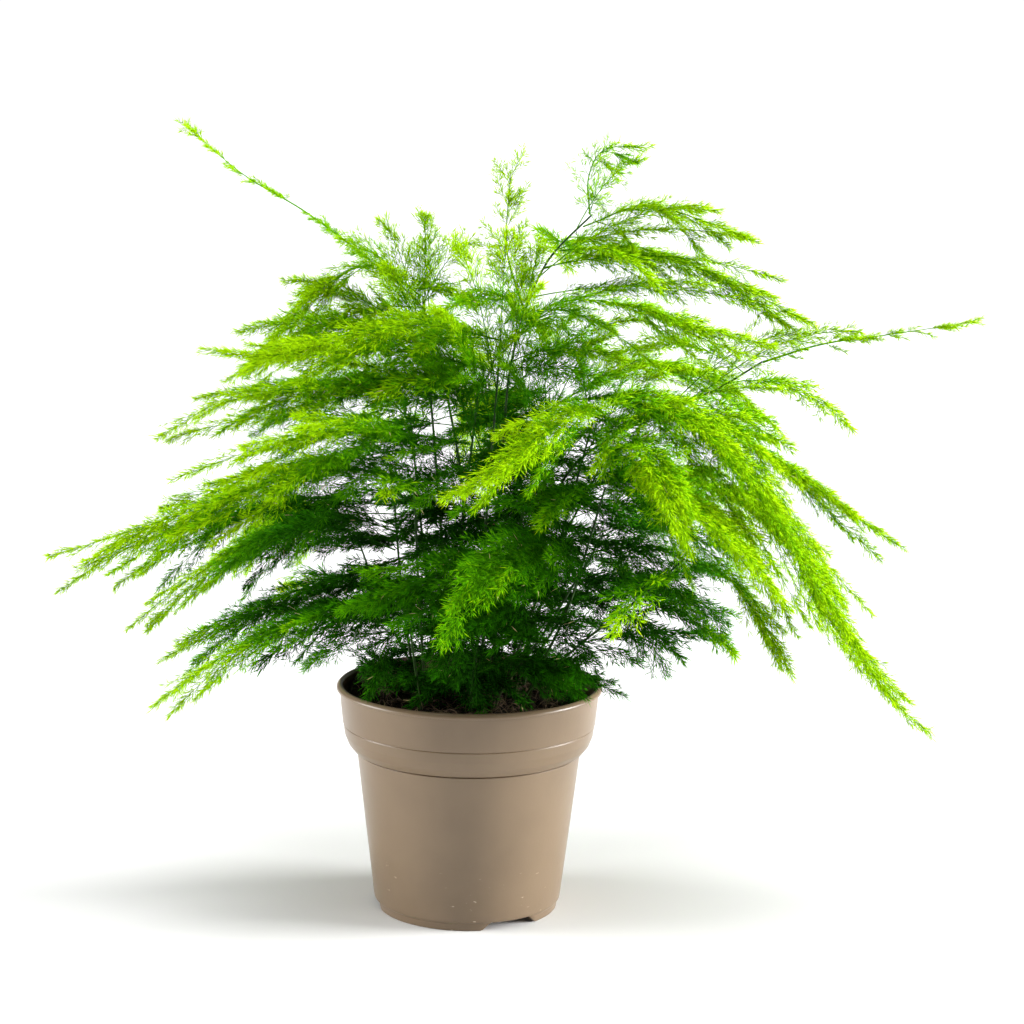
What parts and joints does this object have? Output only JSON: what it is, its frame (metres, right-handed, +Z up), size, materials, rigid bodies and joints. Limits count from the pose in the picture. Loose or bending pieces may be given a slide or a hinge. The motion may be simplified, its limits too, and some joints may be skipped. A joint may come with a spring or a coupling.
{
  "type": "potted asparagus fern",
  "caption": "Feathery asparagus fern with wiry arching stems and flat plume-like fronds, growing in a tapered plastic nursery pot filled with soil.",
  "frame": {"origin": "under the middle of the whole plant's bounding box, on the surface the pot stands on; the pot's axis is at x = -18.5 mm, y = -30.5 mm", "axes": "+Z up along the pot's axis; +X to the right of the front view, along the plant's greatest spread; -Y towards the front view"},
  "size_m": [0.411, 0.303, 0.348],
  "materials": {
    "pot": "satin taupe injection-moulded polypropylene",
    "soil": "loose moist peat and coir compost",
    "root": "pale fibrous rootstock",
    "stem": "smooth wiry green stem",
    "frond": "soft matte needle-like foliage"
  },
  "bodies": {
    "root": {"pot": "pot", "stem_01": "stem", "stem_02": "stem", "stem_03": "stem", "stem_04": "stem", "stem_05": "stem", "stem_06": "stem", "stem_07": "stem", "stem_08": "stem", "stem_09": "stem", "stem_10": "stem", "stem_11": "stem", "stem_12": "stem", "stem_13": "stem", "stem_14": "stem", "stem_15": "stem", "stem_16": "stem", "stem_17": "stem", "stem_18": "stem", "stem_19": "stem", "stem_20": "stem", "soil": "soil", "root_crown": "root", "frond_01_a": "frond", "frond_02_a": "frond", "frond_02_b": "frond", "frond_03_a": "frond", "frond_03_b": "frond", "frond_04_a": "frond", "frond_04_b": "frond", "frond_05_a": "frond", "frond_05_b": "frond", "frond_06_a": "frond", "frond_06_b": "frond", "frond_07_a": "frond", "frond_07_b": "frond", "frond_08_a": "frond", "frond_08_b": "frond", "frond_09_a": "frond", "frond_09_b": "frond", "frond_10_a": "frond", "frond_11_a": "frond", "frond_11_b": "frond", "frond_12_a": "frond", "frond_13_a": "frond", "frond_14_a": "frond", "frond_14_b": "frond", "frond_14_c": "frond", "frond_14_d": "frond", "frond_15_a": "frond", "frond_15_b": "frond", "frond_15_c": "frond", "frond_16_a": "frond", "frond_16_b": "frond", "frond_17_a": "frond", "frond_18_a": "frond", "frond_19_a": "frond", "frond_20_a": "frond", "frond_20_b": "frond"}
  },
  "joints": []
}
